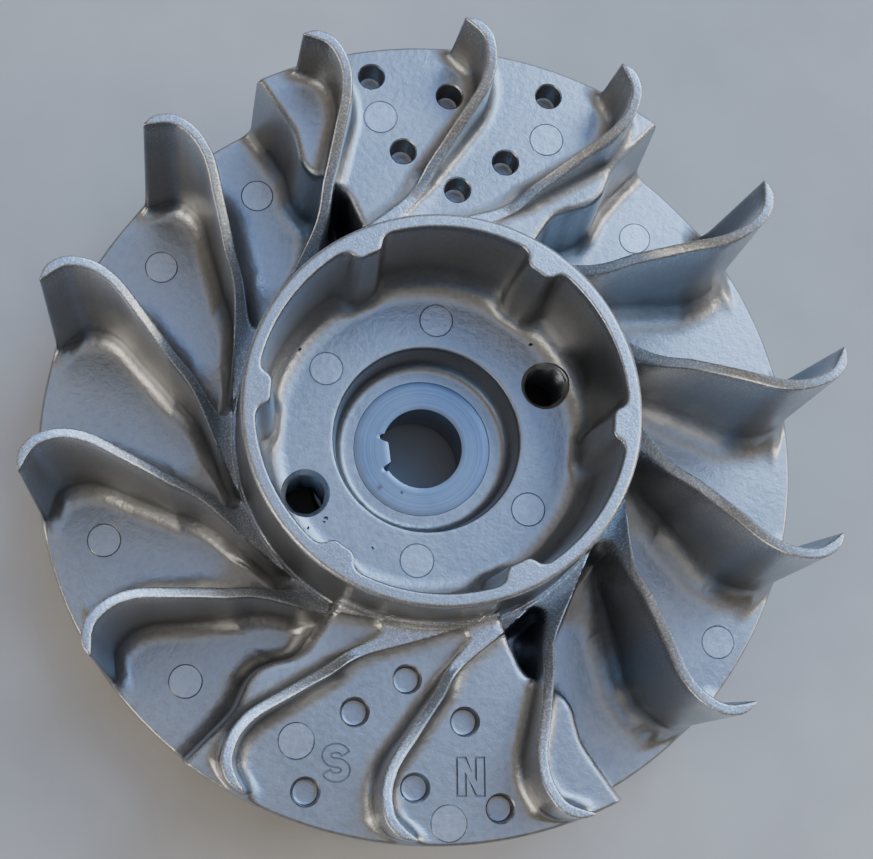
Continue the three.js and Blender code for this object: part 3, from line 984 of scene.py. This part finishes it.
def plain_metal(name, colour, roughness, metallic):
    """A dull metal whose tone and roughness vary a little."""
    n = Nodes(name)
    cloud = n.noise(200, 4)
    dark = tuple(0.75 * c for c in colour)
    n.link(n.ramp(cloud, [(0.3, dark), (0.7, colour)]), n.shader.inputs["Base Color"])
    n.shader.inputs["Metallic"].default_value = metallic
    n.link(n.ramp(cloud, [(0.3, roughness - 0.06), (0.7, roughness + 0.08)]), n.shader.inputs["Roughness"])
    n.link(n.bump(n.noise(1800, 3), 0.00003, 0.6), n.shader.inputs["Normal"])
    return n.material


# ---------------------------------------------------------------- pieces
def build_casting():
    """The casting, with its holes, hollows, pin marks and letters, as one piece."""
    casting = casting_surface()
    grooves, discs = pin_marks()
    letters, trenches = pole_letters()
    carve(casting, joined(hole_cutters() + grooves + trenches + pore_cutters(), "cutters"))
    for cavity in cavity_cutters():
        carve(casting, cavity)
    casting.data.materials.clear()
    for disc in discs:
        disc.data.polygons.foreach_set("material_index", np.ones(len(disc.data.polygons), np.int32))
    add_islands(casting, discs + letters)
    casting.data.materials.append(cast_material("cast_aluminium_fine", 1.0))
    casting.data.materials.append(cast_material("cast_aluminium_pin_mark", PIN_MARK_LIGHTNESS))
    cast_nodes = [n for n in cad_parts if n.startswith("fan_") or n in
                  ("starter_cup", "hub_boss", "counterweight_block", "magnet_block")]
    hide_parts(*cast_nodes)
    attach(casting, "root")


def build_hub():
    """The steel hub as a piece."""
    hub = steel_hub()
    hub.data.materials.append(steel_material())
    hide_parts("steel_hub")
    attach(hub, "root")


def build_pole_shoes():
    """The two pole shoes, each a piece."""
    for name, node, side in (("shoe_north", "pole_shoe_north", -1), ("shoe_south", "pole_shoe_south", 1)):
        shoe = pole_shoe(name, side)
        shoe.data.materials.append(plain_metal("laminated_" + name, SHOE_COLOUR, 0.4, 0.95))
        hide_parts(node)
        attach(shoe, "root")


def finish_magnet():
    """The magnet keeps its own mesh and gets a material and slightly rounded edges."""
    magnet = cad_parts["magnet"]
    magnet.data.materials.clear()
    magnet.data.materials.append(plain_metal("magnet_alloy_fine", MAGNET_COLOUR, 0.5, 0.8))
    edges = magnet.modifiers.new("edges", "BEVEL")
    edges.width = MAGNET_EDGE * MM
    edges.segments = 3


# ---------------------------------------------------------------- studio
def add_light(name, position, size, power, colour):
    """A round area light that points at the part."""
    data = bpy.data.lights.new(name, "AREA")
    data.shape = "DISK"
    data.size = size
    data.energy = power
    data.color = colour
    light = bpy.data.objects.new(name, data)
    light.location = position
    light.rotation_euler = (Vector(LIGHT_AIM) - Vector(position)).to_track_quat("-Z", "Y").to_euler()
    bpy.context.scene.collection.objects.link(light)


def add_floor():
    """A pale floor just below the part."""
    bpy.ops.mesh.primitive_plane_add(size=FLOOR_SIZE, location=(0, 0, -FLOOR_GAP))
    floor = bpy.context.object
    floor.name = "floor"
    n = Nodes("floor_pale")
    colour = n.ramp(n.noise(60, 3), list(zip((0.3, 0.7), FLOOR_COLOURS)))
    n.link(colour, n.shader.inputs["Base Color"])
    n.shader.inputs["Roughness"].default_value = 0.8
    floor.data.materials.append(n.material)


def add_world():
    """A dim room, brighter and bluer overhead and toward +X and +Y."""
    world = bpy.data.worlds.new("studio")
    world.use_nodes = True
    tree = world.node_tree
    background = tree.nodes["Background"]
    coordinates = tree.nodes.new("ShaderNodeTexCoord")
    dot = tree.nodes.new("ShaderNodeVectorMath")
    dot.operation = "DOT_PRODUCT"
    dot.inputs[1].default_value = Vector(BRIGHT_DIRECTION).normalized()
    tree.links.new(coordinates.outputs["Generated"], dot.inputs[0])
    ramp = tree.nodes.new("ShaderNodeValToRGB")
    elements = ramp.color_ramp.elements
    for index, (position, colour) in enumerate(ROOM_STOPS):
        element = elements[index] if index < 2 else elements.new(position)
        element.position = position
        element.color = (*colour, 1)
    tree.links.new(dot.outputs["Value"], ramp.inputs["Fac"])
    tree.links.new(ramp.outputs["Color"], background.inputs["Color"])
    background.inputs["Strength"].default_value = 1.0
    bpy.context.scene.world = world


def add_camera():
    """The camera that matches the photo."""
    data = bpy.data.cameras.new("camera")
    data.sensor_width = CAMERA_SENSOR
    data.lens = CAMERA_LENS
    data.shift_x, data.shift_y = CAMERA_SHIFT
    data.clip_start = CAMERA_NEAR
    camera = bpy.data.objects.new("camera", data)
    place = Vector(CAMERA_PLACE) * MM
    aim = Vector(CAMERA_AIM) * MM
    back = (place - aim).normalized()
    right = Vector((*on_circle(1, CAMERA_TOP), 0)).cross(back).normalized()
    turn = Matrix((right, back.cross(right), back)).transposed().to_4x4()
    camera.matrix_world = Matrix.Translation(place) @ turn
    bpy.context.scene.collection.objects.link(camera)
    bpy.context.scene.camera = camera


build_casting()
build_hub()
build_pole_shoes()
finish_magnet()
add_floor()
add_world()
for light_name, settings in LIGHTS.items():
    add_light(light_name, *settings)
add_camera()

bpy.context.view_layer.update()
